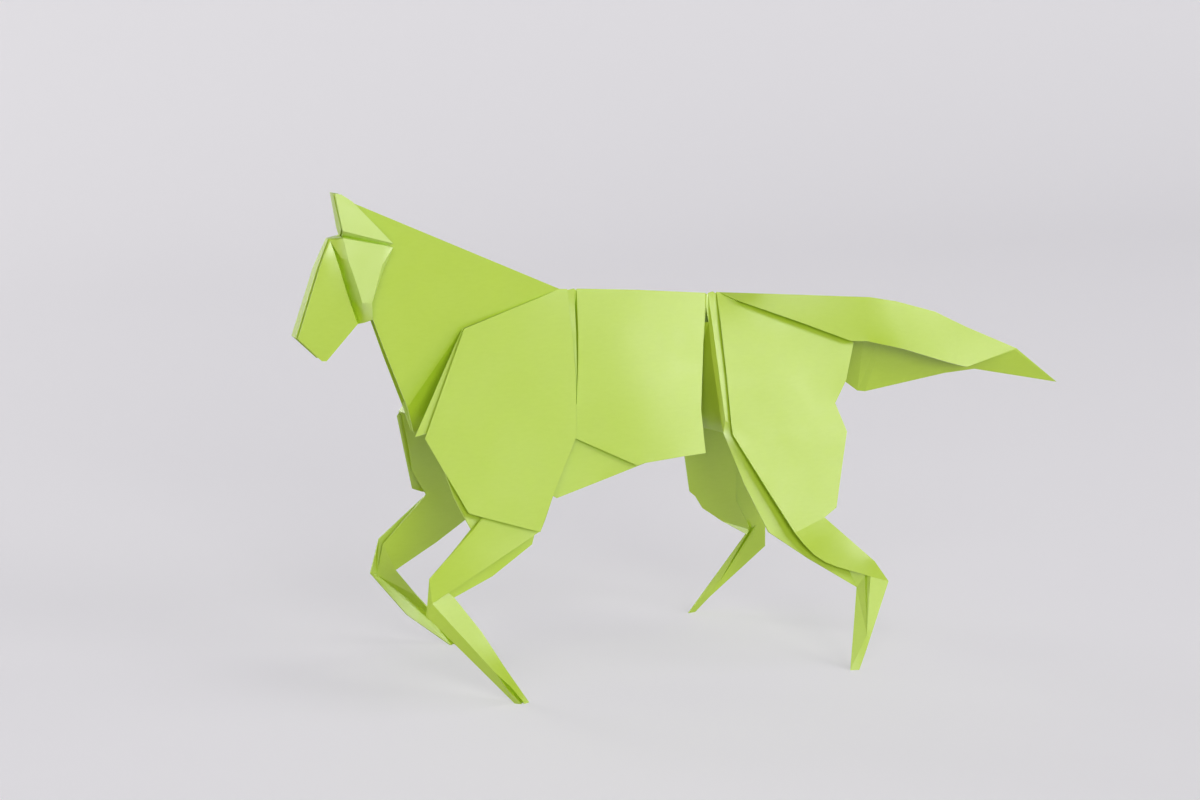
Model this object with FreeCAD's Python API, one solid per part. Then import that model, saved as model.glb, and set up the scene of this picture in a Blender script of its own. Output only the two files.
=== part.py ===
import FreeCAD, Part
import os

# An origami horse in mid stride, folded from one sheet of paper.
# Millimetres. X runs from nose to tail, Z is up, and the back's fold lies in the plane Y = 0.
# The sheet is described by its corners and by the flat facets between them, one side at a time.
# Every facet then gets the paper's thickness, mitred at each fold, and the lot is one closed solid.

os.makedirs("parts", exist_ok=True)

# ---- driving sizes -------------------------------------------------------------------------
paper = 0.35             # folded paper, two plies of sheet
ply_gap = 1.1            # air between two plies that lie over each other
flare = 0.36             # how far a flank stands out for each millimetre below the back

withers_height = 90.5    # fold of the back above the table, at the shoulders
back_length = 40.5       # withers to croup
back_fall = 3.1          # the croup lies this much lower than the withers
neck_reach = 50.0        # poll ahead of the withers
neck_rise = 22.8         # poll above the withers
head_reach = 13.2        # nose ahead of the poll
head_drop = 29.8         # nose below the poll
muzzle_width = 4.4
ear_lean = {"left": 1.0, "right": -1.0}           # the ear leans out to the left below
throat_width = 4.0
tail_length = 96.0       # croup to tip
tail_fall = 28.9         # the tip lies this much lower than the croup

shoulder_depth = 51.8    # back to the bottom corner of the shoulder plate
belly_depth = 39.5       # back to the bottom edge of the barrel
haunch_depth = 55.2      # back to the bottom corner of the haunch plate

knee_height = 25.0
knee_reach = 39.5        # knee ahead of the withers
fore_foot_reach = {"left": 18.5, "right": 17.4}   # front feet ahead of the withers
fore_stance = 25.0       # front feet out from the middle
toe_drop = {"left": 0.0, "right": 2.4}            # the right plate's front corner hangs lower
lappet_tuck = {"left": 0.0, "right": 3.1}         # and its lappet is folded further back
knee_drop = {"left": 0.0, "right": 4.5}           # the right knee is creased lower
shin_swell = {"left": 0.0, "right": 2.2}          # and the right front shin is fuller below
hock_tilt = {"left": 0.0, "right": 2.7}           # and the right hock slopes down to the rear
hock_height = 19.0
hock_reach = {"left": 33.0, "right": 25.5}        # hock behind the croup
hind_foot_reach = {"left": 22.2, "right": 6.5}    # hind foot behind the croup
hind_stance = {"left": 31.8, "right": 27.5}       # hind foot out from the middle
thigh_steps = {"left": ((0.7, -43.8), (3.1, -49.6), (4.2, -52.3), (5.3, -55.0)),   # front edge of the
               "right": ((-1.3, -43.3), (1.6, -53.0), (3.3, -54.4), (5.9, -58.0))}  # thigh's inner flap

# ---- landmarks of the side view --------------------------------------------------------------
withers = (0.0, withers_height)
croup = (back_length, withers_height - back_fall)
poll = (-neck_reach, withers_height + neck_rise)
nose = (poll[0] - head_reach, poll[1] - head_drop)
tail_tip = (croup[0] + tail_length, croup[1] - tail_fall)

corners = {}
facets = []


def ridge(name, origin, dx, dz):
    """A corner on the fold of the back, shared by both sides."""
    corners[name] = FreeCAD.Vector(origin[0] + dx, 0.0, origin[1] + dz)


def corner(side, name, origin, dx, dz, half_width):
    """A corner of one side, half_width out from the middle."""
    out = -half_width if side == "left" else half_width
    corners[side + " " + name] = FreeCAD.Vector(origin[0] + dx, out, origin[1] + dz)


def back_height(x):
    return withers_height - back_fall * max(x, 0.0) / back_length


def flank(side, name, origin, dx, dz, lift):
    """A corner on the flared flank, lift out from its innermost ply."""
    drop = back_height(origin[0] + dx) - origin[1] - dz
    corner(side, name, origin, dx, dz, flare * drop + lift)


def between(side, name, start, end, share, dx, dz):
    """A corner on the way from one corner to another, moved off the straight line."""
    first, last = corners[side + " " + start], corners[side + " " + end]
    corners[side + " " + name] = first + (last - first) * share + FreeCAD.Vector(dx, 0, dz)


def facet(side, names):
    """One flat of the sheet: its corners in order, seen from outside the left side."""
    ring = [name if name in corners else side + " " + name for name in names.split(", ")]
    facets.append(ring if side == "left" else ring[::-1])


# ---- head: ear, cheek and muzzle, wrapped over the end of the neck -----------------------------
def head(side):
    lean = ear_lean[side]
    corner(side, "ear tip", poll, -3.6, 1.9, 1.7 - 0.7 * lean)
    corner(side, "ear top", poll, -2.1, 1.6, 1.4 - 0.5 * lean)
    corner(side, "ear nape", poll, 0.2, 0.0, 1.5 - 0.4 * lean)
    corner(side, "ear bend", poll, -2.5, -6.0, 2.0 + 0.6 * lean)
    corner(side, "ear front", poll, -2.3, -7.0, 1.3 + 0.3 * lean)
    corner(side, "ear heel", poll, 8.9, -9.4, 2.3 + 0.4 * lean)
    corner(side, "groove front", poll, -2.3, -7.5, 0.7)
    corner(side, "groove heel", poll, 8.2, -10.0, 1.6)
    corner(side, "cheek front", poll, -2.3, -7.9, 2.6)
    corner(side, "cheek heel", poll, 9.1, -10.6, 2.1)
    corner(side, "cheek fold0", poll, 7.1, -10.0, 2.7)
    corner(side, "cheek fold1", poll, 6.2, -14.0, 3.5)
    corner(side, "cheek lap", poll, 6.4, -16.3, 2.3)
    corner(side, "jaw", poll, 3.4, -22.3, 4.4)
    corner(side, "jaw tip", poll, 4.1, -26.4, 2.8)
    corner(side, "brow", poll, -5.1, -8.2, 1.2)
    swell = ((-1.5, -12.6, 3.5), (0.0, -17.6, 4.4), (1.4, -22.2, 4.2))
    bend = ((-2.7, -12.1, 2.1), (-1.2, -16.8, 2.6), (0.2, -21.2, 2.5), (2.4, -27.1, 2.0))
    valley = ((-3.5, -11.3, 0.7), (-2.1, -15.7, 0.6), (-0.8, -20.3, 0.6), (1.4, -27.6, 0.7))
    edge = ((-4.3, -11.1, 1.7), (-3.1, -15.4, 2.2), (-1.9, -19.9, 2.4), (0.5, -27.4, 2.4))
    for row, places in (("swell", swell), ("bend", bend), ("valley", valley), ("edge", edge)):
        for step, (dx, dz, half_width) in enumerate(places):
            corner(side, row + str(step), poll, dx, dz, half_width)

    facet(side, "poll crest, crown, ear tip, ear top, ear nape")
    facet(side, "ear nape, ear top, ear tip, ear bend, ear heel")
    facet(side, "ear heel, ear bend, ear front")
    facet(side, "ear nape, ear heel, neck hem, poll fold, poll crest")
    facet(side, "ear heel, ear front, groove front, groove heel")
    facet(side, "groove heel, groove front, cheek front, cheek fold0, cheek heel")
    facet(side, "cheek heel, cheek fold0, cheek fold1, jaw, cheek lap")
    facet(side, "cheek fold0, cheek front, brow, bend0, swell0")
    facet(side, "cheek fold0, swell0, swell1, cheek fold1")
    facet(side, "cheek fold1, swell1, swell2, jaw")
    facet(side, "swell0, bend0, bend1, swell1")
    facet(side, "swell1, bend1, bend2, swell2")
    facet(side, "jaw, swell2, bend2, bend3, jaw tip")
    facet(side, "bend0, brow, valley0")
    facet(side, "valley0, brow, edge0")
    for step in (1, 2, 3):
        last = step - 1
        facet(side, f"bend{step}, bend{last}, valley{last}, valley{step}")
        facet(side, f"valley{step}, valley{last}, edge{last}, edge{step}")

    half = muzzle_width / 2
    corner(side, "nose bridge", poll, -8.0, -14.6, half - 0.2)
    corner(side, "nose", nose, 0.0, 0.0, half)
    corner(side, "chin", nose, 5.4, -5.4, half)
    corner(side, "lip", nose, 6.5, -5.5, half)
    corner(side, "muzzle crease", poll, -4.8, -20.4, half + 0.4)
    facet(side, "muzzle crease, brow, nose bridge, nose, chin, lip, edge3")
    facet(side, "muzzle crease, edge3, edge2, edge1, edge0, brow")


def front_flap():
    """The right side's paper turns over the front edge and stops just short of the left side's."""
    names = ("ear tip", "ear bend", "ear front", "groove front", "cheek front", "brow", "nose bridge", "nose")
    for name in names:
        place = corners["right " + name]
        edge = corners["left " + name].y + paper + 0.5
        corners["flap " + name] = FreeCAD.Vector(place.x, edge, place.z)
    for upper, lower in zip(names, names[1:]):
        facet("left", f"right {upper}, right {lower}, flap {lower}, flap {upper}")


# ---- neck and shoulder: a fan of pleats that meet at the shoulder point ------------------------
def neck(side):
    half = throat_width / 2
    corner(side, "neck hem", poll, 5.2, -7.4, 0.35)
    corner(side, "neck hem low", poll, 0.5, -21.0, half - 1.0)
    corner(side, "throat0", poll, 4.6, -26.8, half - 0.8)
    corner(side, "throat1", poll, 7.4, -34.8, half - 0.5)
    corner(side, "throat2", withers, -37.9, -24.5, half)
    corner(side, "throat3", withers, -36.1, -30.9, half - 1.2)
    corner(side, "pocket floor", withers, -32.5, -27.5, 0.3)
    corner(side, "neck base", withers, -4.0, -1.3, 0.5)
    corner(side, "fan neck", withers, -24.0, -7.6, 0.9)
    facet(side, "withers, poll fold, fan neck, neck base")
    facet(side, "fan neck, poll fold, neck hem, neck hem low")
    facet(side, "fan neck, neck hem low, throat0, throat1, throat2")
    facet(side, "fan neck, throat2, throat3, pocket floor")


def shoulder(side):
    lift = (ply_gap + 0.4) / shoulder_depth
    flank(side, "fan lappet", withers, -24.3, -7.4, -0.6)
    flank(side, "fan plate", withers, -24.1, -7.3, 7.3 * lift)
    tuck = lappet_tuck[side]
    flank(side, "lappet tip", withers, -38.9 + tuck, -29.6 + 0.45 * tuck, 0.2)
    flank(side, "lappet heel", withers, -35.2, -28.9, 0.1)
    flank(side, "lappet fold", withers, -19.0, -24.0, 0.1)
    facet(side, "fan neck, pocket floor, lappet tip, fan lappet")
    facet(side, "fan lappet, lappet tip, lappet heel, lappet fold")

    low = toe_drop[side]
    outline = (("plate front", -36.8 + 0.3 * tuck, -30.1 + 0.2 * tuck),
               ("plate toe", -28.9 - 0.5 * low, -46.3 - low), ("plate hem", -25.8 - 0.7 * low, -47.4 - low),
               ("plate heel", -12.5, -shoulder_depth), ("plate rear0", -11.0, -49.5),
               ("plate rear1", -7.8, -43.7), ("plate rear2", -0.5, -32.1), ("plate rear3", 0.2, -25.2),
               ("plate rear4", 1.1, -17.2), ("plate rear5", 1.5, -9.8))
    for name, dx, dz in outline:
        flank(side, name, withers, dx, dz, -dz * lift)
    facet(side, "fan lappet, lappet fold, plate front, fan plate")
    names = ", ".join(name for name, dx, dz in outline)
    facet(side, "fan plate, " + names + ", plate crest, withers, neck base")


# ---- foreleg: an outer flap, an inner flap and a shin folded out between them -------------------
def foreleg(side):
    inner = ply_gap + 0.9
    back = 0.5 * toe_drop[side]
    flank(side, "brisket0", withers, -32.7, -38.2, -0.8)
    flank(side, "brisket1", withers, -31.3, -43.7, -0.5)
    flank(side, "brisket2", withers, -28.4 + back, -50.4, -0.5)
    flank(side, "arm root", withers, -12.0, -38.0, -0.9)
    flank(side, "arm fold front", withers, -22.5, -45.6, 0.3)
    flank(side, "arm fold rear", withers, -13.0, -47.8, 0.3)
    flank(side, "arm front", withers, -26.4, -48.8, 0.4)
    flank(side, "arm point", withers, -28.2 + back, -50.3 - 0.4 * back, 0.4)
    flank(side, "arm rear", withers, -12.2, -52.1, 0.4)
    knee = (-knee_reach, knee_height)
    knee_half = flare * (withers_height - knee_height) - 1.6
    low = knee_drop[side]
    corner(side, "knee", knee, 0.3 + 0.15 * low, -low, knee_half)
    corner(side, "knee top", knee, -0.2 + 0.4 * low, 5.7 - 0.3 * low, knee_half - 0.4)
    corner(side, "knee front", knee, -0.8, -2.9 - 0.2 * low, knee_half - 0.9)
    corner(side, "knee back", knee, 6.1 - 0.2 * low, 0.3 - 0.8 * low, knee_half - inner)
    corner(side, "inner knee", knee, 0.8 + 0.3 * low, 5.2 - 0.4 * low, knee_half - inner)
    flank(side, "inner edge0", withers, -13.0, -53.1, -1.6)
    flank(side, "inner edge1", withers, -13.8, -55.3, -1.9)
    corner(side, "inner edge2", knee, 15.5, 4.1 - 0.3 * low, knee_half - inner - 0.6)
    facet(side, "plate heel, plate hem, plate toe, arm fold front, arm fold rear")
    facet(side, "knee, arm rear, arm fold rear, arm fold front, arm front, arm point, knee top, knee front")
    facet(side, "lappet fold, lappet heel, brisket0, brisket1, brisket2, inner edge0, arm root")
    facet(side, "inner edge0, brisket2, inner knee, knee, knee back, inner edge2, inner edge1")

    foot = (-fore_foot_reach[side], 0.0)
    corner(side, "fore slit", foot, -7.0, 8.2, fore_stance - 0.2)
    corner(side, "fore slit lip0", foot, -4.0, 3.7, fore_stance - 0.1)
    corner(side, "fore slit lip1", foot, -3.1, 4.3, fore_stance - 0.1)
    corner(side, "fore slit floor", foot, -3.5, 4.0, fore_stance - 1.2)
    corner(side, "fore toe0", foot, -1.9, 0.0, fore_stance - 0.9)
    corner(side, "fore toe1", foot, -0.8, 0.0, fore_stance)
    corner(side, "fore sole", foot, -0.4, 0.0, fore_stance - 0.9)
    corner(side, "fore heel1", foot, 0.1, 0.0, fore_stance)
    corner(side, "fore heel0", foot, 1.2, 0.0, fore_stance - 0.5)
    swell = shin_swell[side]
    between(side, "shin front", "knee front", "fore toe0", 0.45, 0.0, -swell)
    between(side, "shin back1", "knee back", "fore heel0", 0.33, 0.6 - 0.5 * swell, 0.0)
    between(side, "shin back0", "knee back", "fore heel0", 0.66, 0.1 - 0.2 * swell, 0.0)
    facet(side, "fore slit, knee, knee front, shin front, fore toe0, fore toe1, fore slit lip0")
    facet(side, "fore slit, fore slit lip0, fore toe1, fore sole, fore slit floor")
    facet(side, "fore slit, fore slit floor, fore sole, fore heel1, fore slit lip1")
    facet(side, "fore slit, fore slit lip1, fore heel1, fore heel0, shin back0, shin back1, knee back, knee")


# ---- barrel: a bowed panel between two deep pleats ---------------------------------------------
def barrel(side):
    flank(side, "plate tuck0", withers, 0.8, -9.8, -0.8)
    flank(side, "plate tuck1", withers, 0.4, -17.2, -0.6)
    flank(side, "pleat lip0", withers, 2.8, -10.0, -0.2)
    flank(side, "pleat lip1", withers, 1.8, -17.3, 0.1)
    pleat = (("0", 3.5, -10.1), ("1", 2.4, -17.3), ("2", 0.8, -25.4))
    for step, dx, dz in pleat:
        flank(side, "pleat floor" + step, withers, dx - 0.7, dz, -2.6)
        flank(side, "barrel front" + step, withers, dx, dz, 0.1)
    facet(side, "plate crest, plate rear5, plate rear4, plate rear3, plate tuck1, plate tuck0, tuck crest")
    facet(side, "tuck crest, plate tuck0, plate tuck1, plate rear3, pleat lip1, pleat lip0, pleat crest")
    facet(side, "pleat crest, pleat lip0, pleat floor0, pleat crest floor")
    facet(side, "pleat lip0, pleat lip1, pleat floor1, pleat floor0")
    facet(side, "pleat lip1, plate rear3, pleat floor2, pleat floor1")
    facet(side, "pleat crest floor, pleat floor0, barrel front0, barrel crest0")
    facet(side, "pleat floor0, pleat floor1, barrel front1, barrel front0")
    facet(side, "pleat floor1, pleat floor2, barrel front2, barrel front1")

    flank(side, "belly hem", withers, -7.0, -29.5, -0.1)
    flank(side, "belly tuck0", withers, -6.4, -28.0, -1.1)
    flank(side, "belly tuck1", withers, 19.3, -belly_depth + 0.4, -0.9)
    flank(side, "belly toe", withers, -11.0, -43.0, -2.8)
    flank(side, "belly point", withers, -5.9, -46.2, -3.0)
    flank(side, "belly fold", withers, 14.0, -belly_depth - 0.4, 0.1)
    flank(side, "barrel low", withers, 15.2, -belly_depth - 0.3, 0.1)
    flank(side, "barrel low rear", croup, -14.7, -belly_depth + 3.4, 0.0)
    flank(side, "barrel heel", croup, -8.5, -belly_depth + 3.6, -0.3)
    flank(side, "barrel rear1", croup, -8.2, -26.1, -0.3)
    flank(side, "barrel rear0", croup, -5.3, -11.6, -0.2)
    flank(side, "barrel gusset", croup, -3.5, -3.4, -0.1)
    flank(side, "barrel bow0", withers, 19.0, -15.5, 1.0)
    flank(side, "barrel bow1", withers, 17.5, -28.5, 1.3)
    facet(side, "barrel bow1, barrel bow0, barrel crest1, barrel crest0, barrel front0, barrel front1,"
                " barrel front2, belly hem, belly fold, barrel low")
    facet(side, "barrel bow1, barrel low, barrel low rear, barrel heel, barrel rear1, barrel rear0,"
                " barrel gusset, barrel crest2, barrel crest1, barrel bow0")
    facet(side, "belly fold, belly hem, belly tuck0, belly tuck1")
    facet(side, "belly tuck1, belly tuck0, belly toe, belly point")


# ---- haunch: two narrow strips, a broad plate over them, and the thigh's inner flap -------------
def haunch(side):
    flank(side, "gusset floor", croup, -3.0, -3.4, -0.9)
    facet(side, "barrel crest2, barrel gusset, gusset floor, gusset crest")
    facet(side, "gusset crest, gusset floor, strip edge0, strip crest0")

    edge = ((-2.5, -6.9, -1.3), (-2.9, -14.4, -1.1), (-2.9, -29.2, -0.9))
    crease = ((-1.9, -7.0, -0.7), (-2.1, -14.4, -0.3), (-2.3, -29.2, 0.0))
    fold = ((2.8, -7.0, -0.8), (2.5, -14.4, -0.4), (2.2, -30.4, 0.0))
    for row, places in (("strip edge", edge), ("strip crease", crease), ("strip fold", fold)):
        for step, (dx, dz, lift) in enumerate(places):
            flank(side, row + str(step), croup, dx, dz, lift)
    for step, (dx, dz, half_width) in enumerate(((-3.4, -6.9, 0.4), (-4.3, -14.4, 0.5), (-4.2, -29.4, 0.6),
                                                 (-3.8, -32.4, 0.6))):
        corner(side, "lining" + str(step), croup, dx, dz, half_width)
    facet(side, "strip edge0, lining0, lining1, strip edge1")
    facet(side, "strip edge1, lining1, lining2, strip edge2")
    facet(side, "strip edge2, lining2, lining3, stifle0")
    facet(side, "strip crest0, strip edge0, strip crease0, strip crest1")
    facet(side, "strip edge0, strip edge1, strip crease1, strip crease0")
    facet(side, "strip edge1, strip edge2, strip crease2, strip crease1")
    facet(side, "strip crest1, strip crease0, strip fold0, haunch fold")
    facet(side, "strip crease0, strip crease1, strip fold1, strip fold0")
    facet(side, "strip crease1, strip crease2, strip fold2, strip fold1")

    lift = (ply_gap + 0.4) / haunch_depth
    outline = (("plate edge0", 0.2, -7.0), ("plate edge1", -0.3, -18.4), ("plate edge2", -1.0, -30.0),
               ("plate edge3", -1.3, -32.2), ("plate edge4", 6.2, -46.2),
               ("thigh front", 11.1, -haunch_depth),
               ("thigh rear", 19.6, -52.6), ("plate back0", 23.2, -50.7), ("plate back1", 29.2, -33.9),
               ("plate back2", 27.2, -27.3))
    for name, dx, dz in outline:
        flank(side, name, croup, dx, dz, -dz * lift)
    flank(side, "plate back3", croup, 31.0, -22.2, 1.0)
    flank(side, "plate back4", croup, 34.4, -13.9, 1.1)
    flank(side, "plate hem0", croup, 31.5, -10.4, 1.0)
    flank(side, "plate hem1", croup, 19.5, -5.9, 0.2)
    flank(side, "plate shoulder", croup, 4.5, -2.0, 0.5)
    facet(side, "haunch fold, strip fold0, plate edge0, haunch crest")
    facet(side, "strip fold0, strip fold1, plate edge1, plate edge0")
    facet(side, "strip fold1, strip fold2, plate edge2, plate edge1")
    names = ", ".join(name for name, dx, dz in outline[:-1])
    facet(side, "plate back2, plate hem1, plate shoulder, tail crest0, haunch crest, " + names)
    facet(side, "plate hem1, plate back2, plate back3, plate back4, plate hem0")


def hind_leg(side):
    hock = (croup[0] + hock_reach[side], hock_height)
    half = flare * (back_height(hock[0]) - hock_height) + 0.9
    tilt = hock_tilt[side]
    for step, (dx, dz) in enumerate(((-2.8, -31.9), *thigh_steps[side])):
        flank(side, "stifle" + str(step), croup, dx, dz, -0.9)
    corner(side, "hock inner", hock, -5.8, -1.5 + 1.1 * tilt, half - 2.0)
    between(side, "thigh low0", "stifle4", "hock inner", 0.45, 0.0, -0.4)
    corner(side, "hock slot", hock, -4.1, 1.2 + 0.4 * tilt, half - 1.2)
    flank(side, "thigh root0", hock, -10.5, 11.5, -0.9)
    flank(side, "thigh root1", croup, 12.0, -41.0, -0.9)
    facet(side, "thigh root1, strip fold2, strip crease2, strip edge2, stifle0, stifle1, stifle2, stifle3,"
                " stifle4, thigh low0, hock inner, hock slot, thigh root0")

    corner(side, "hock front", hock, -3.1, 1.3, half)
    hang = ((0.12, -1.5), (0.25, -2.6), (0.4, -2.85), (0.56, -2.3), (0.76, -1.2))
    for step, (share, dz) in enumerate(hang):
        between(side, "thigh lap" + str(step), "thigh front", "hock front", share, 0.0, dz)
    corner(side, "hock back", hock, 1.7 - 0.4 * tilt, -0.3 - 0.9 * tilt, half)
    corner(side, "hock top", hock, -2.2 + tilt, 5.1, half)
    facet(side, "thigh rear, thigh front, thigh lap0, thigh lap1, thigh lap2, thigh lap3, thigh lap4,"
                " hock front, hock back, hock top")

    foot = (croup[0] + hind_foot_reach[side], 0.0)
    corner(side, "hind toe", foot, -0.9, 0.0, hind_stance[side] - 0.5)
    corner(side, "hind sole", foot, 1.2, 0.0, hind_stance[side])
    between(side, "shin join", "hock front", "hind sole", 0.64, 0.9, 0.0)
    between(side, "shin heel", "hock front", "hind sole", 0.82, 1.1, 0.0)
    corner(side, "hock valley", hock, -3.4, 2.8 + 0.3 * tilt, half - 2.4)
    facet(side, "shin join, hock slot, hock inner, hind toe, hind sole, shin heel")
    facet(side, "hock slot, shin join, hock valley")
    facet(side, "hock valley, shin join, hock front")
    facet(side, "shin join, shin heel, hock back, hock front")


# ---- tail: the back's paper carried on, the right side hanging lower ---------------------------
def tail(side):
    upper = (("tail bend1", 19.8, -5.8, 5.1), ("tail bend2", 29.0, -6.7, 7.0),
             ("tail lap0", 5.5, -2.3, 3.0), ("tail lap1", 19.9, -7.7, 4.7),
             ("tail lap2", 32.8, -12.9, 6.8), ("tail lap3", 37.5, -13.4, 6.5),
             ("tail lap4", 48.3, -16.3, 5.0), ("tail lap5", 61.1, -20.6, 4.0),
             ("tail lap6", 67.2, -22.4, 3.4))
    lower = (("tail bend1", 19.8, -6.8, 5.7), ("tail bend2", 29.5, -11.0, 8.4),
             ("tail lap0", 5.5, -2.3, 3.0), ("tail lap1", 19.9, -9.7, 5.6),
             ("tail lap2", 30.6, -19.5, 9.3), ("tail lap3", 42.2, -28.3, 6.8),
             ("tail lap4", 44.0, -28.5, 6.1), ("tail lap5", 65.1, -25.0, 3.8),
             ("tail lap6", 73.5, -24.4, 3.2))
    for name, dx, dz, half_width in upper if side == "left" else lower:
        corner(side, name, croup, dx, dz, half_width)
    facet(side, "tail crest0, plate shoulder, tail lap0")
    facet(side, "tail crest0, tail lap0, tail bend1, tail crest1")
    facet(side, "tail lap0, tail lap1, tail bend1")
    facet(side, "tail bend1, tail lap1, tail lap2, tail lap3, tail bend2")
    facet(side, "tail crest1, tail bend1, tail bend2, tail crest2")
    facet(side, "tail crest2, tail bend2, tail lap3")
    facet(side, "tail crest2, tail lap3, tail lap4, tail crest3")
    facet(side, "tail crest3, tail lap4, tail lap5, tail crest4")
    facet(side, "tail crest4, tail lap5, tail lap6, tail crest5")
    facet(side, "tail crest5, tail lap6, tail crest6")


def tail_point():
    facet("right", "tail crest6, right tail lap6, tail point")


# ---- the fold of the back, from ear to tail ----------------------------------------------------
def back():
    ridge("crown", poll, -2.3, 1.5)
    ridge("poll crest", poll, 0.1, 0.2)
    ridge("poll fold", poll, 0.5, -0.4)
    ridge("withers", withers, 0.0, 0.0)
    ridge("plate crest", withers, 1.9, -0.1)
    ridge("tuck crest", withers, 1.5, -0.5)
    ridge("pleat crest", withers, 3.8, -0.2)
    ridge("pleat crest floor", withers, 4.2, -0.6)
    ridge("barrel crest0", withers, 4.6, -0.3)
    ridge("barrel crest1", withers, 20.0, -1.5)
    ridge("barrel crest2", croup, -3.0, -0.2)
    ridge("gusset crest", croup, -2.6, -0.6)
    ridge("strip crest0", croup, -2.2, -0.3)
    ridge("strip crest1", croup, -1.0, 0.0)
    ridge("haunch fold", croup, 1.1, -0.9)
    ridge("haunch crest", croup, 0.2, 0.0)
    ridge("tail crest0", croup, 0.9, -0.1)
    ridge("tail crest1", croup, 22.4, -2.2)
    ridge("tail crest2", croup, 41.3, -3.9)
    ridge("tail crest3", croup, 48.6, -5.4)
    ridge("tail crest4", croup, 59.7, -8.7)
    ridge("tail crest5", croup, 68.7, -13.1)
    ridge("tail crest6", tail_tip, -12.4, 9.3)
    ridge("tail point", tail_tip, 0.0, 0.0)


# ---- thickness ---------------------------------------------------------------------------------
fold_reach = 0.75 * paper    # a sharp fold's mitre is cut off at this length


def ears(ring):
    """One facet cut into triangles, each time at the open corner with the shortest base."""
    ring = list(ring)
    facing = FreeCAD.Vector()
    for i, name in enumerate(ring):
        facing += corners[ring[i - 1]].cross(corners[name])

    def inside(p, a, b, c):
        return all((end - start).cross(p - start).dot(facing) >= 0 for start, end in ((a, b), (b, c), (c, a)))

    triangles = []
    while len(ring) > 3:
        bases = []
        for i in range(len(ring)):
            a, b, c = (corners[ring[place]] for place in (i - 2, i - 1, i))
            others = [corners[name] for name in ring if name not in (ring[i - 2], ring[i - 1], ring[i])]
            if (b - a).cross(c - b).dot(facing) > 0 and not any(inside(p, a, b, c) for p in others):
                bases.append(((c - a).Length, i))
        i = min(bases)[1]
        triangles.append((ring[i - 2], ring[i - 1], ring[i]))
        ring.pop(i - 1)
    triangles.append(tuple(ring))
    return triangles


def mitre(normals, on_table):
    """The step from a corner to the paper's outer face: half the thickness off every flat there."""
    step = FreeCAD.Vector()
    for turn in range(40):
        for normal in normals:
            step += normal * (0.5 * (paper / 2 - step.dot(normal)))
        if on_table:
            step.z = 0
    return step * min(1.0, fold_reach / step.Length)


def thicken(triangles):
    """The sheet as one closed solid: an outer face, an inner face and the cut edge between them."""
    flats = {}
    for ring in triangles:
        a, b, c = (corners[name] for name in ring)
        normal = (b - a).cross(c - a).normalize()
        for name in ring:
            flats.setdefault(name, []).append(normal)
    steps = {name: mitre(flats[name], corners[name].z == 0) for name in flats}
    outer = {name: corners[name] + steps[name] for name in steps}
    inner = {name: corners[name] - steps[name] for name in steps}
    skins = []
    for a, b, c in triangles:
        skins.append((outer[a], outer[b], outer[c]))
        skins.append((inner[c], inner[b], inner[a]))
    sides = {(ring[i], ring[(i + 1) % 3]) for ring in triangles for i in range(3)}
    for a, b in sorted(sides):
        if (b, a) not in sides:
            skins.append((outer[b], outer[a], inner[a]))
            skins.append((outer[b], inner[a], inner[b]))
    shell = Part.makeShell([Part.Face(Part.makePolygon([*skin, skin[0]])) for skin in skins])
    shell.sewShape()
    return Part.Solid(shell)


# ---- fold the horse -----------------------------------------------------------------------------
back()
for side in ("left", "right"):
    head(side)
    neck(side)
    shoulder(side)
    foreleg(side)
    barrel(side)
    haunch(side)
    hind_leg(side)
    tail(side)
front_flap()
tail_point()

horse = thicken([triangle for ring in facets for triangle in ears(ring)])
box = horse.BoundBox
horse.translate(FreeCAD.Vector(-box.Center.x, -box.Center.y, -box.ZMin))
horse.exportStep("parts/origami_horse.step")
print("origami_horse", "valid", horse.isValid(), "volume", round(horse.Volume, 1),
      "box", [round(v, 2) for v in (box.XLength, box.YLength, box.ZLength)])
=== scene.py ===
import math
import bpy
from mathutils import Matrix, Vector


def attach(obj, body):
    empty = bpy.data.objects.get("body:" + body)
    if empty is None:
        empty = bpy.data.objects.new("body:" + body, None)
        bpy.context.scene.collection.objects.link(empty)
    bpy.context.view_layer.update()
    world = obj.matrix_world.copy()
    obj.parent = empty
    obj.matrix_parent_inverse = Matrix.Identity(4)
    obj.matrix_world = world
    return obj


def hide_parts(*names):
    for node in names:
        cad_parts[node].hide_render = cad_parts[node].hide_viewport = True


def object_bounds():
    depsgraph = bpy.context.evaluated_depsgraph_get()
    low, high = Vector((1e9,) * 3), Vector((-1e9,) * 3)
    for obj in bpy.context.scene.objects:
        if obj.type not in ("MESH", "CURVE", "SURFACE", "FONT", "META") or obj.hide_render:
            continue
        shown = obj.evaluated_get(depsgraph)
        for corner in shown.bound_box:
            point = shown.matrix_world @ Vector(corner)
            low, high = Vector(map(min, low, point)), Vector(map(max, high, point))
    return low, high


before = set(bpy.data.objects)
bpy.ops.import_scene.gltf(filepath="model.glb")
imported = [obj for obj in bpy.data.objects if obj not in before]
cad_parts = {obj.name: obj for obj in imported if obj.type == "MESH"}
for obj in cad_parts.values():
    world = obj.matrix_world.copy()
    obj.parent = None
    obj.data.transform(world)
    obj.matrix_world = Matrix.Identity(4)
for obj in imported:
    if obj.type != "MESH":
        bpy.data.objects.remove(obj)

cad_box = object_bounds()


# ---- the folded sheet ----------------------------------------------------------------------------
# The whole horse is one square of thin coloured paper. Each flat between two folds is taut but never
# quite flat, the folds are pressed sharp with a nail, and the cut edges are as thick as the plies.
mm = 0.001
horse = bpy.data.objects.new("paper_horse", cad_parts["origami_horse"].data.copy())
bpy.context.collection.objects.link(horse)
bpy.ops.object.select_all(action="DESELECT")
horse.select_set(True)
bpy.context.view_layer.objects.active = horse


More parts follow.
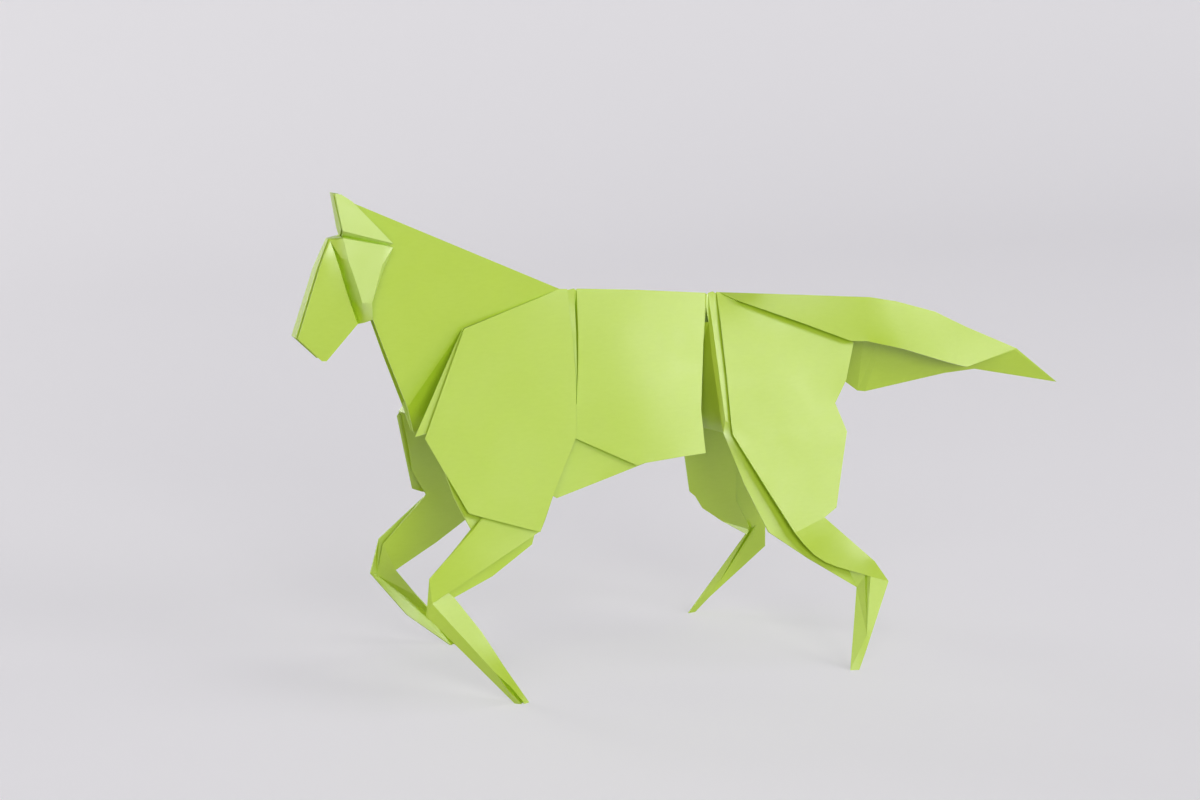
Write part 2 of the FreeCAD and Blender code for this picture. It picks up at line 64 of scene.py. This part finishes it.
def zone(x, y, z):
    """The lowest and highest corners of a box, from its reach in millimetres along, across and up."""
    return tuple(Vector(corner) * mm for corner in zip(x, y, z))


whole_sheet = zone((-110.0, 110.0), (-40.0, 40.0), (0.0, 120.0))
cheeks = zone((-92.5, -79.0), (-3.5, 8.0), (84.0, 105.8))
throat_pockets = zone((-75.0, -60.0), (-0.5, 4.5), (65.5, 83.5))
barrel = zone((-33.0, 0.5), (-14.0, 18.0), (44.0, 86.5))
over_the_stifles = zone((14.8, 23.8), (-19.4, 23.4), (32.0, 35.2))
tail = zone((6.5, 70.0), (-20.0, 20.0), (60.0, 87.5))
left_tail_root = zone((3.0, 36.0), (-9.0, 2.0), (72.0, 88.0))
right_tail_root = zone((3.0, 36.0), (2.4, 14.0), (72.0, 88.0))


def in_zone(place, box):
    return all(low <= value <= high for low, value, high in zip(box[0], place, box[1]))


def ends(edge):
    return [horse.data.vertices[index].co for index in edge.vertices]


def lies_in(edge, boxes):
    """Whether both ends of an edge of the horse lie in one of the boxes."""
    return any(all(in_zone(end, box) for end in ends(edge)) for box in boxes)


def edge_length(edge):
    first, last = ends(edge)
    return (last - first).length


def edit_edges():
    """Edit mode, edges only, with nothing selected."""
    bpy.ops.object.mode_set(mode="EDIT")
    bpy.ops.mesh.select_mode(type="EDGE")
    bpy.ops.mesh.select_all(action="DESELECT")


def select_edges(piece, wanted):
    """Edit mode, edges only, with exactly the edges of a piece selected that wanted picks."""
    edit_edges()
    bpy.ops.object.mode_set(mode="OBJECT")
    for edge in piece.data.edges:
        edge.select = wanted(edge)
    bpy.ops.object.mode_set(mode="EDIT")


def bends_past(angle):
    """The numbers of the horse's edges where the sheet bends by more than an angle in degrees."""
    edit_edges()
    bpy.ops.mesh.edges_select_sharp(sharpness=math.radians(angle))
    bpy.ops.object.mode_set(mode="OBJECT")
    return {edge.index for edge in horse.data.edges if edge.select}


def press(angle, *boxes):
    """Every bend past an angle is a pressed fold in these boxes."""
    sharper = bends_past(angle)
    select_edges(horse, lambda edge: edge.index in sharper and lies_in(edge, boxes))
    bpy.ops.mesh.mark_sharp()


def soften(angle, *boxes):
    """No bend but those past an angle is a pressed fold in these boxes."""
    sharper = bends_past(angle)
    select_edges(horse, lambda edge: edge.index not in sharper and lies_in(edge, boxes))
    bpy.ops.mesh.mark_sharp(clear=True)


# The cheeks and the tail are rounded over, and the tail rolls out of the rump. In the throat pockets and
# over the stifles the sheet is pressed down at a shallow bend too.
welding_distance = 0.002 * mm
bpy.ops.object.mode_set(mode="EDIT")
bpy.ops.mesh.select_mode(type="EDGE")
bpy.ops.mesh.select_all(action="SELECT")
bpy.ops.mesh.remove_doubles(threshold=welding_distance)
press(16.8, whole_sheet)
soften(50, cheeks, tail)
soften(80, left_tail_root, right_tail_root)
press(8, throat_pockets, over_the_stifles)

# The flats get a close, even mesh, so that the soft bends between them can run out smoothly.
longest_edge = 2.4 * mm
halvings = 5
level_bend = math.radians(5)
for halving in range(halvings):
    select_edges(horse, lambda edge: edge_length(edge) > longest_edge)
    bpy.ops.mesh.subdivide(number_cuts=1, ngon=False)
    bpy.ops.mesh.select_all(action="SELECT")
    bpy.ops.mesh.quads_convert_to_tris(quad_method="SHORTEST_DIAGONAL", ngon_method="BEAUTY")
    bpy.ops.mesh.beautify_fill(angle_limit=level_bend)
bpy.ops.mesh.select_mode(type="VERT")
bpy.ops.mesh.select_all(action="DESELECT")
bpy.ops.object.mode_set(mode="OBJECT")

# Between the pressed folds the sheet relaxes into even curves, most of all where it is only rolled.
on_fold = {index for edge in horse.data.edges if edge.use_edge_sharp for index in edge.vertices}
for passes, box in ((10, whole_sheet), (50, barrel), (30, left_tail_root), (30, right_tail_root)):
    for vertex in horse.data.vertices:
        vertex.select = vertex.index not in on_fold and in_zone(vertex.co, box)
    bpy.ops.object.mode_set(mode="EDIT")
    bpy.ops.mesh.vertices_smooth(factor=0.5, repeat=passes)
    bpy.ops.object.mode_set(mode="OBJECT")

# Folds and cut edges are rounded by about a third of the paper's thickness, and these take the wear.
fold_radius = 0.13 * mm
select_edges(horse, lambda edge: edge.use_edge_sharp)
bpy.ops.mesh.bevel(offset=fold_radius, segments=2, affect="EDGES", clamp_overlap=True)
bpy.ops.object.mode_set(mode="OBJECT")
wear = horse.data.attributes.new("fold_wear", "FLOAT", "FACE")
wear.data.foreach_set("value", [float(face.select) for face in horse.data.polygons])

# The ear and the cheek stand proud of the neck and the muzzle, and a painted highlight pales their outer
# side.
# From its level upwards the neck tapers by its slope, and from its level downwards the muzzle's edge runs
# back by its own. Lengths are in millimetres.
middle_of_sheet = 2.15
neck_level = 91
neck_half_width = 2.25
neck_slope = 0.0714
muzzle_level = 104
muzzle_edge = -90
muzzle_slope = 0.23
back_of_ear = -77
foot_of_cheek = 84
fade_width = 0.8


def painted_highlight_mask(place):
    """Where the painted highlight goes: 1 on the outer side of the ear and the cheek, fading out where these
    turn in, and 0 elsewhere.
    """
    x, z = place.x / mm, place.z / mm
    off_neck = abs(place.y / mm - middle_of_sheet) - neck_half_width + neck_slope * (z - neck_level)
    off_muzzle = x - muzzle_edge - muzzle_slope * (muzzle_level - z)
    if x < back_of_ear and z > foot_of_cheek:
        return min(max(min(off_neck, off_muzzle) / fade_width, 0), 1)
    return 0


# The painted highlight's mask on the ear and the cheek, one value for each vertex.
highlight_attribute = horse.data.attributes.new("painted_head_highlight", "FLOAT", "POINT")
highlight_attribute.data.foreach_set("value", [painted_highlight_mask(vertex.co) for vertex in horse.data.vertices])

# Handling leaves the sheet faintly wavy. All the plies wave together, so none cuts through another.
wave_length = 26 * mm
wave_height = 0.5 * mm
wave = bpy.data.textures.new("paper_wave", type="CLOUDS")
wave.noise_scale = wave_length
wave.noise_depth = 1
ripple = horse.modifiers.new("ripple", type="DISPLACE")
ripple.texture = wave
ripple.texture_coords = "LOCAL"
ripple.direction = "Y"
ripple.mid_level = 0.5
ripple.strength = wave_height
bpy.ops.object.modifier_apply(modifier="ripple")

bpy.ops.object.shade_smooth_by_angle(angle=math.radians(40))
flats = horse.modifiers.new("flats", type="WEIGHTED_NORMAL")
flats.keep_sharp = True
bpy.ops.object.modifier_apply(modifier="flats")


# ---- paper ---------------------------------------------------------------------------------------
# Lime green kraft, dyed through and calendered to a dull shine over a fine grain of fibres. The dye lies
# in faint clouds and has rubbed paler along the pressed folds. The ear and the cheek, which stand proud and
# catch the most light, get a painted highlight: their colour is made paler, standing in for their sheen.
def noise(tree, vector, per_metre, detail):
    texture = tree.nodes.new("ShaderNodeTexNoise")
    texture.inputs["Scale"].default_value = per_metre
    texture.inputs["Detail"].default_value = detail
    texture.inputs["Roughness"].default_value = 0.6
    tree.links.new(vector, texture.inputs["Vector"])
    return texture.outputs["Fac"]


def uneven(tree, vector, per_metre, detail, low, high):
    """A value that wanders from low to high over the sheet. The noise under it keeps to 0.3 to 0.7."""
    spread = tree.nodes.new("ShaderNodeMapRange")
    spread.inputs["From Min"].default_value = 0.3
    spread.inputs["From Max"].default_value = 0.7
    spread.inputs["To Min"].default_value = low
    spread.inputs["To Max"].default_value = high
    tree.links.new(noise(tree, vector, per_metre, detail), spread.inputs["Value"])
    return spread.outputs["Result"]


def where_marked(tree, attribute, strength):
    """A strength that holds only where the mesh is marked."""
    marked = tree.nodes.new("ShaderNodeAttribute")
    marked.attribute_name = attribute
    product = tree.nodes.new("ShaderNodeMath")
    product.operation = "MULTIPLY"
    tree.links.new(marked.outputs["Fac"], product.inputs[0])
    tree.links.new(strength, product.inputs[1])
    return product.outputs["Value"]


def mixed(tree, factor, first, second):
    """One colour going over into another. Each is a colour or a node's output."""
    mix = tree.nodes.new("ShaderNodeMix")
    mix.data_type = "RGBA"
    tree.links.new(factor, mix.inputs["Factor"])
    for socket, colour in (("A", first), ("B", second)):
        if isinstance(colour, tuple):
            mix.inputs[socket].default_value = (*colour, 1)
        else:
            tree.links.new(colour, mix.inputs[socket])
    return mix.outputs["Result"]


def paper_material():
    deep_dye = (0.448, 0.632, 0.020)
    pale_dye = (0.462, 0.650, 0.025)
    fleck = (0.505, 0.690, 0.045)
    painted_highlight_colour = (0.60, 0.785, 0.19)
    rubbed = (0.64, 0.80, 0.17)

    material = bpy.data.materials.new("lime_paper")
    material.use_nodes = True
    tree = material.node_tree
    shader = tree.nodes["Principled BSDF"]
    place = tree.nodes.new("ShaderNodeTexCoord").outputs["Object"]
    stretched = tree.nodes.new("ShaderNodeMapping")
    stretched.inputs["Scale"].default_value = (0.35, 1.0, 1.0)
    tree.links.new(place, stretched.inputs["Vector"])
    along_grain = stretched.outputs["Vector"]

    clouds = uneven(tree, place, per_metre=70, detail=2, low=0, high=1)
    flecks = uneven(tree, along_grain, per_metre=1500, detail=5, low=0, high=0.35)
    highlight_strength = uneven(tree, place, per_metre=90, detail=2, low=0.8, high=1.0)
    rubbing = uneven(tree, place, per_metre=350, detail=3, low=0.15, high=0.6)
    colour = mixed(tree, clouds, deep_dye, pale_dye)
    colour = mixed(tree, flecks, colour, fleck)
    # Painted highlight: a paler colour on the ear and the cheek that stands in for the light they catch.
    colour = mixed(tree, where_marked(tree, "painted_head_highlight", highlight_strength), colour, painted_highlight_colour)
    colour = mixed(tree, where_marked(tree, "fold_wear", rubbing), colour, rubbed)
    tree.links.new(colour, shader.inputs["Base Color"])

    dullness = uneven(tree, place, per_metre=260, detail=4, low=0.30, high=0.36)
    tree.links.new(dullness, shader.inputs["Roughness"])
    fibres = tree.nodes.new("ShaderNodeBump")
    fibres.inputs["Strength"].default_value = 0.14
    fibres.inputs["Distance"].default_value = 0.02 * mm
    tree.links.new(noise(tree, along_grain, per_metre=3200, detail=4), fibres.inputs["Height"])
    tree.links.new(fibres.outputs["Normal"], shader.inputs["Normal"])
    shader.inputs["IOR"].default_value = 1.6
    shader.inputs["Specular IOR Level"].default_value = 0.9
    return material


horse.data.materials.clear()
horse.data.materials.append(paper_material())
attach(horse, "root")
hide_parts("origami_horse")


# ---- table and wall ------------------------------------------------------------------------------
# A plain matt sweep: a flat floor that curves up into the wall behind. Its paint is mid grey, so that it
# throws little light up under the horse, and it is lifted to a pale tone for the eye.
half_width = 12
near_edge = -12.0
wall = 1.1
wall_height = 3
curve_radius = 0.5


def lifted_paint(name, paint_colour, roughness, lift_colour, lift):
    """Paint lifted to a paler tone where it is seen directly or mirrored. The lift lights nothing."""
    material = bpy.data.materials.new(name)
    material.use_nodes = True
    tree = material.node_tree
    paint = tree.nodes["Principled BSDF"]
    paint.inputs["Base Color"].default_value = (*paint_colour, 1)
    paint.inputs["Roughness"].default_value = roughness
    paint.inputs["Specular IOR Level"].default_value = 0.1
    rays = tree.nodes.new("ShaderNodeLightPath")
    seen = rays.outputs["Is Camera Ray"]
    for mirrored in ("Is Glossy Ray", "Is Transmission Ray"):
        either = tree.nodes.new("ShaderNodeMath")
        either.operation = "MAXIMUM"
        tree.links.new(seen, either.inputs[0])
        tree.links.new(rays.outputs[mirrored], either.inputs[1])
        seen = either.outputs["Value"]
    strength = tree.nodes.new("ShaderNodeMath")
    strength.operation = "MULTIPLY"
    strength.inputs[1].default_value = lift
    tree.links.new(seen, strength.inputs[0])
    glow = tree.nodes.new("ShaderNodeEmission")
    glow.inputs["Color"].default_value = (*lift_colour, 1)
    tree.links.new(strength.outputs["Value"], glow.inputs["Strength"])
    both = tree.nodes.new("ShaderNodeAddShader")
    tree.links.new(paint.outputs["BSDF"], both.inputs[0])
    tree.links.new(glow.outputs["Emission"], both.inputs[1])
    tree.links.new(both.outputs["Shader"], tree.nodes["Material Output"].inputs["Surface"])
    return material


bpy.ops.object.select_all(action="DESELECT")
bpy.ops.mesh.primitive_plane_add(size=2, location=(0, 0, 0))
sweep = bpy.context.object
sweep.name = "sweep"
sweep.data.materials.append(lifted_paint("pale_floor", paint_colour=(0.50, 0.485, 0.475), roughness=0.9,
                                         lift_colour=(0.742, 0.732, 0.800), lift=0.52))
for vertex in sweep.data.vertices:
    vertex.co.x *= half_width
    vertex.co.y = wall if vertex.co.y > 0 else near_edge


def foot_of_wall(edge):
    corners = [sweep.data.vertices[index].co for index in edge.vertices]
    return all(abs(corner.y - wall) < mm and abs(corner.z) < mm for corner in corners)


select_edges(sweep, foot_of_wall)
bpy.ops.mesh.extrude_region_move(TRANSFORM_OT_translate={"value": (0, 0, wall_height)})
select_edges(sweep, foot_of_wall)
bpy.ops.mesh.bevel(offset=curve_radius, segments=16, affect="EDGES")
bpy.ops.object.mode_set(mode="OBJECT")
bpy.ops.object.shade_smooth()


# ---- light ---------------------------------------------------------------------------------------
# Round soft windows, as in a pale room in daylight. The main ones stand in front and to the right, low
# ones on both sides bring out the paper's dull shine, and one behind on the left lights the far flank.
def soft_lamp(name, azimuth, elevation, distance, width, power):
    """A lamp that faces the horse, at an azimuth counted to the right from the horse's near side."""
    data = bpy.data.lights.new(name, type="AREA")
    data.shape = "DISK"
    data.size = width
    data.energy = power
    lamp = bpy.data.objects.new(name, data)
    bpy.context.collection.objects.link(lamp)
    around, above = math.radians(azimuth), math.radians(elevation)
    outward = Vector((math.sin(around) * math.cos(above),
                      -math.cos(around) * math.cos(above), math.sin(above)))
    middle_of_horse = Vector((0, 0, 0.06))
    lamp.location = middle_of_horse + outward * distance
    lamp.rotation_euler = (-outward).to_track_quat("-Z", "Y").to_euler()


soft_lamp("front_window", azimuth=-3, elevation=15, distance=2.4, width=0.9, power=17.7)
soft_lamp("near_left_window", azimuth=-30, elevation=10, distance=2.4, width=0.9, power=8.2)
soft_lamp("high_left_window", azimuth=-30, elevation=35, distance=2.4, width=0.9, power=4.8)
soft_lamp("left_window", azimuth=-95, elevation=8, distance=2.4, width=0.9, power=7.5)
soft_lamp("window", azimuth=40, elevation=27, distance=2.4, width=0.9, power=9.2)
soft_lamp("low_window", azimuth=57, elevation=7, distance=2.4, width=0.8, power=9.2)
soft_lamp("right_window", azimuth=70, elevation=55, distance=2.4, width=1.1, power=6.1)
soft_lamp("far_left_window", azimuth=-140, elevation=12, distance=1.3, width=0.6, power=6.0)
room = bpy.data.worlds.new("room")
bpy.context.scene.world = room
room.use_nodes = True
room.node_tree.nodes["Background"].inputs["Color"].default_value = (0.95, 0.96, 1.0, 1)
room.node_tree.nodes["Background"].inputs["Strength"].default_value = 0.15


# ---- camera --------------------------------------------------------------------------------------
# Stands a little towards the head and a little above the back, with a short telephoto lens, and aims at
# the front of the barrel.
camera_yaw = math.radians(22.5)
camera_pitch = math.radians(11.5)
camera_distance = 589.6 * mm
aim_before_middle = 26.1 * mm
aim_off_middle = 2.2 * mm
aim_height = 63.5 * mm
low, high = (Vector(corner) for corner in cad_box)
aim = Vector(((low.x + high.x) / 2 - aim_before_middle,
              (low.y + high.y) / 2 + aim_off_middle, low.z + aim_height))
forward = Vector((math.sin(camera_yaw) * math.cos(camera_pitch),
                  math.cos(camera_yaw) * math.cos(camera_pitch), -math.sin(camera_pitch)))
camera_data = bpy.data.cameras.new("camera")
camera_data.lens = 75
camera_data.sensor_width = 36
camera = bpy.data.objects.new("camera", camera_data)
bpy.context.collection.objects.link(camera)
camera.location = aim - forward * camera_distance
camera.rotation_euler = forward.to_track_quat("-Z", "Y").to_euler()
bpy.context.scene.camera = camera
bpy.context.scene.view_settings.view_transform = "Standard"
